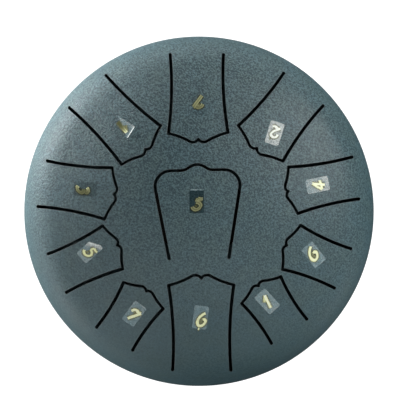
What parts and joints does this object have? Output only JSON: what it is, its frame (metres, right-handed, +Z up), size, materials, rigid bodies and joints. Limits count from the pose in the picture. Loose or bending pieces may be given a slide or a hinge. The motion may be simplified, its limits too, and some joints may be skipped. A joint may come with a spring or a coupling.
{
  "type": "steel tongue drum",
  "caption": "Round steel drum of two welded bowls, with tongues cut in its domed top that ring when struck, numbered stickers and rubber feet.",
  "frame": {"origin": "on the floor under the drum's axis, level with the bottom of the feet", "axes": "+Z up along the drum's axis; -Y towards the player, where the low six tongue is; +X to the player's right"},
  "size_m": [0.255, 0.255, 0.1321],
  "materials": {
    "powder_coat": "matte slate teal powder coat with a fine grain",
    "sticker_film": "clear film with a printed gold number",
    "rubber": "matte black",
    "plated_steel": "bright zinc plate"
  },
  "bodies": {
    "drum": {"upper_shell": "powder_coat", "lower_shell": "powder_coat", "seam_weld": "powder_coat", "foot_front_left": "rubber", "foot_front_right": "rubber", "foot_back_left": "rubber", "foot_back_right": "rubber", "foot_washers": "plated_steel", "foot_screws": "plated_steel", "foot_nuts": "plated_steel"},
    "note_low_5": {"tongue_low_5": "powder_coat", "sticker_low_5": "sticker_film"},
    "note_low_6": {"tongue_low_6": "powder_coat", "sticker_low_6": "sticker_film"},
    "note_low_7": {"tongue_low_7": "powder_coat", "sticker_low_7": "sticker_film"},
    "note_1": {"tongue_1": "powder_coat", "sticker_1": "sticker_film"},
    "note_2": {"tongue_2": "powder_coat", "sticker_2": "sticker_film"},
    "note_3": {"tongue_3": "powder_coat", "sticker_3": "sticker_film"},
    "note_4": {"tongue_4": "powder_coat", "sticker_4": "sticker_film"},
    "note_5": {"tongue_5": "powder_coat", "sticker_5": "sticker_film"},
    "note_6": {"tongue_6": "powder_coat", "sticker_6": "sticker_film"},
    "note_7": {"tongue_7": "powder_coat", "sticker_7": "sticker_film"},
    "note_high_1": {"tongue_high_1": "powder_coat", "sticker_high_1": "sticker_film"}
  },
  "joints": [
    {"name": "tongue_low_5_flex", "type": "hinge", "parent": "drum", "child": "note_low_5", "pos_m": [0, -0.03251, 0.12888], "axis": [-0.9998, -0.0209, 0], "range_deg": [-0.6, 0.6], "stiffness_Nm_per_rad": 8.18, "springref_deg": -0.11},
    {"name": "tongue_low_6_flex", "type": "hinge", "parent": "drum", "child": "note_low_6", "pos_m": [0.00197, -0.11284, 0.10318], "axis": [-0.9999, 0.0105, 0], "range_deg": [-0.6, 0.6], "stiffness_Nm_per_rad": 8.08, "springref_deg": -0.1},
    {"name": "tongue_low_7_flex", "type": "hinge", "parent": "drum", "child": "note_low_7", "pos_m": [-0.00155, 0.11128, 0.1045], "axis": [1, -0.0035, 0], "range_deg": [-0.6, 0.6], "stiffness_Nm_per_rad": 5.75, "springref_deg": -0.11},
    {"name": "tongue_1_flex", "type": "hinge", "parent": "drum", "child": "note_1", "pos_m": [-0.07935, 0.08539, 0.0994], "axis": [0.7536, 0.6574, 0], "range_deg": [-0.6, 0.6], "stiffness_Nm_per_rad": 4.98, "springref_deg": -0.12},
    {"name": "tongue_2_flex", "type": "hinge", "parent": "drum", "child": "note_2", "pos_m": [0.07425, 0.08663, 0.10203], "axis": [0.7705, -0.6374, 0], "range_deg": [-0.6, 0.6], "stiffness_Nm_per_rad": 3.98, "springref_deg": -0.13},
    {"name": "tongue_3_flex", "type": "hinge", "parent": "drum", "child": "note_3", "pos_m": [-0.11115, 0.0196, 0.10318], "axis": [0.2045, 0.9789, 0], "range_deg": [-0.6, 0.6], "stiffness_Nm_per_rad": 3.16, "springref_deg": -0.13},
    {"name": "tongue_4_flex", "type": "hinge", "parent": "drum", "child": "note_4", "pos_m": [0.11116, 0.02363, 0.10246], "axis": [0.1564, -0.9877, 0], "range_deg": [-0.6, 0.6], "stiffness_Nm_per_rad": 2.48, "springref_deg": -0.14},
    {"name": "tongue_5_flex", "type": "hinge", "parent": "drum", "child": "note_5", "pos_m": [-0.10044, -0.04388, 0.10577], "axis": [-0.4337, 0.9011, 0], "range_deg": [-0.6, 0.6], "stiffness_Nm_per_rad": 2.16, "springref_deg": -0.15},
    {"name": "tongue_6_flex", "type": "hinge", "parent": "drum", "child": "note_6", "pos_m": [0.10184, -0.04053, 0.10577], "axis": [-0.3875, -0.9219, 0], "range_deg": [-0.6, 0.6], "stiffness_Nm_per_rad": 1.67, "springref_deg": -0.16},
    {"name": "tongue_7_flex", "type": "hinge", "parent": "drum", "child": "note_7", "pos_m": [-0.05975, -0.09027, 0.10669], "axis": [-0.8425, 0.5388, 0], "range_deg": [-0.6, 0.6], "stiffness_Nm_per_rad": 1.39, "springref_deg": -0.17},
    {"name": "tongue_high_1_flex", "type": "hinge", "parent": "drum", "child": "note_high_1", "pos_m": [0.06379, -0.08496, 0.10792], "axis": [-0.8251, -0.565, 0], "range_deg": [-0.6, 0.6], "stiffness_Nm_per_rad": 1.23, "springref_deg": -0.17}
  ]
}
